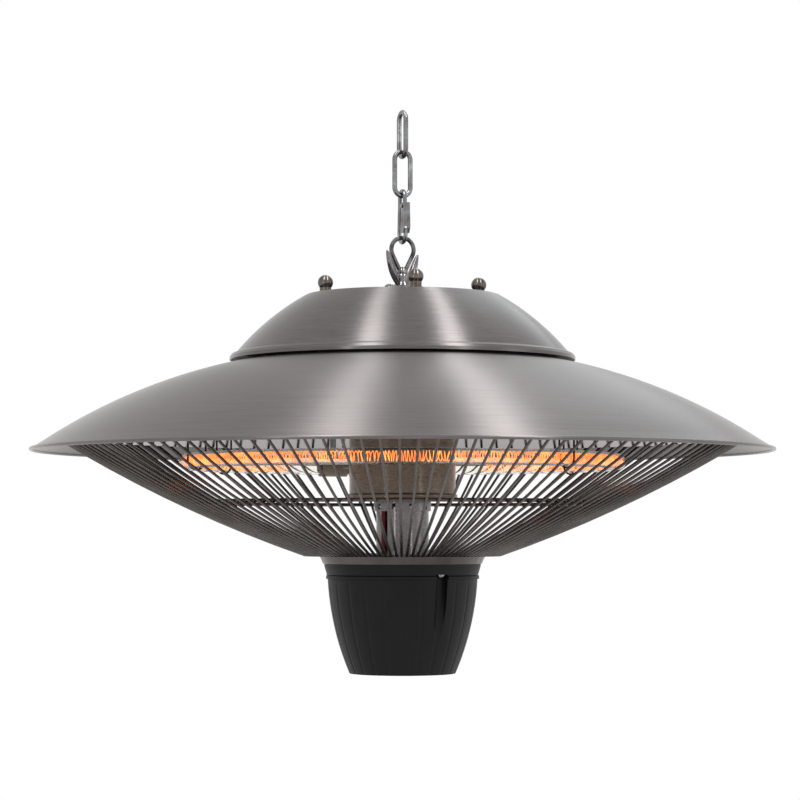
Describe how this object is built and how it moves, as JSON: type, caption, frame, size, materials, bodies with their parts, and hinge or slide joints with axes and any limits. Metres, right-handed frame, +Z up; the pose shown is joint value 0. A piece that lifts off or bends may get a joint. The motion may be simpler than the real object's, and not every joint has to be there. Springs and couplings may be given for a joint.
{
  "type": "hanging electric patio heater",
  "caption": "Pendant patio heater: brushed steel shade and cap on a chain and snap hook, ring lamp behind a wire bowl grille, fluted control pot below.",
  "frame": {"origin": "inner crown of the upper chain link, where a ceiling hook carries the heater", "axes": "+Z up the chain, +X to the right and +Y away from the viewer who faces the front"},
  "size_m": [0.5922, 0.5922, 0.4523],
  "materials": {
    "zinc": "bright zinc plating",
    "chrome": "polished chrome plating",
    "nickel": "polished nickel plating",
    "brushed_cap": "brushed round the axis",
    "brushed_shade": "brushed round the axis",
    "mirror_aluminium": "polished",
    "bronze_steel": "heat-tinted satin steel",
    "bright_steel": "satin",
    "bar_steel": "satin dark wire",
    "dark_wire": "dark spring wire",
    "quartz": "clear quartz",
    "ceramic": "matt steatite",
    "lead_sleeve": "woven glass sleeve",
    "red_sleeve": "silicone sleeve",
    "black_plastic": "fine matt",
    "red_plastic": "gloss",
    "dark_window": "gloss",
    "clear_lens": "gloss",
    "board_green": "solder mask",
    "relay_blue": "moulded",
    "glowing_coil": "resistance wire at red heat"
  },
  "bodies": {
    "upper_link": {"chain_link_upper": "zinc"},
    "lower_link": {"chain_link_lower": "zinc"},
    "hook": {"snap_hook_body": "zinc", "snap_hook_rivet": "zinc"},
    "gate": {"snap_hook_gate": "zinc"},
    "heater": {"eye_bolt": "chrome", "eye_washer": "chrome", "eye_nut": "chrome", "eye_lock_nut": "chrome", "cap_cover": "brushed_cap", "cap_stiffener": "zinc", "ball_nuts": "nickel", "cap_studs": "zinc", "cap_spacers": "zinc", "cable_gland": "black_plastic", "gland_lock_nut": "black_plastic", "shade": "brushed_shade", "hanger_plate": "zinc", "reflector_spacers": "zinc", "reflector": "mirror_aluminium", "stud_nuts": "zinc", "terminal_block": "ceramic", "canister": "bronze_steel", "canister_base": "bronze_steel", "column_collar": "bright_steel", "column_tube": "bright_steel", "thermal_cutout": "ceramic", "quartz_tube": "quartz", "heating_coil": "glowing_coil", "lamp_end_caps": "ceramic", "lamp_brackets": "zinc", "lamp_clips": "dark_wire", "lamp_leads": "lead_sleeve", "grille_bars": "bar_steel", "grille_middle_ring": "bar_steel", "grille_top_ring": "bar_steel", "hub_ring": "bar_steel", "control_pot": "black_plastic", "pot_screws": "zinc", "pot_base": "black_plastic", "base_screws": "zinc", "control_board": "board_green", "relay": "relay_blue", "supply_leads": "lead_sleeve", "outer_lead": "red_sleeve", "button_spring": "zinc", "button_switch": "black_plastic", "receiver_window": "dark_window", "indicator_lenses": "clear_lens"},
    "wing_nut": {"wing_nut": "chrome"},
    "button": {"power_button": "red_plastic"}
  },
  "joints": [
    {"name": "link_swing", "type": "hinge", "parent": "upper_link", "child": "lower_link", "pos_m": [0, 0, -0.034], "axis": [0.3907, -0.9205, 0], "range_deg": [-45, 45]},
    {"name": "hook_swing", "type": "hinge", "parent": "lower_link", "child": "hook", "pos_m": [0, 0, -0.0657], "axis": [0.9205, 0.3907, 0], "range_deg": [-45, 45]},
    {"name": "heater_swing", "type": "hinge", "parent": "hook", "child": "heater", "pos_m": [0, 0, -0.1033], "axis": [0.3907, -0.9205, 0], "range_deg": [-35, 35]},
    {"name": "gate_open", "type": "hinge", "parent": "hook", "child": "gate", "pos_m": [0.00204, -0.00481, -0.0744], "axis": [0.9205, 0.3907, 0], "range_deg": [0, 16], "stiffness_Nm_per_rad": 0.02, "springref_deg": -5.73},
    {"name": "wing_nut_turn", "type": "hinge", "parent": "heater", "child": "wing_nut", "pos_m": [0, 0, -0.1341], "axis": [0, 0, 1], "continuous": true},
    {"name": "power_button_press", "type": "slide", "parent": "heater", "child": "button", "axis": [0, 0, 1], "range_m": [0, 0.0015], "stiffness_N_per_m": 400, "springref_m": -0.001, "deforming": ["button_spring"]}
  ]
}
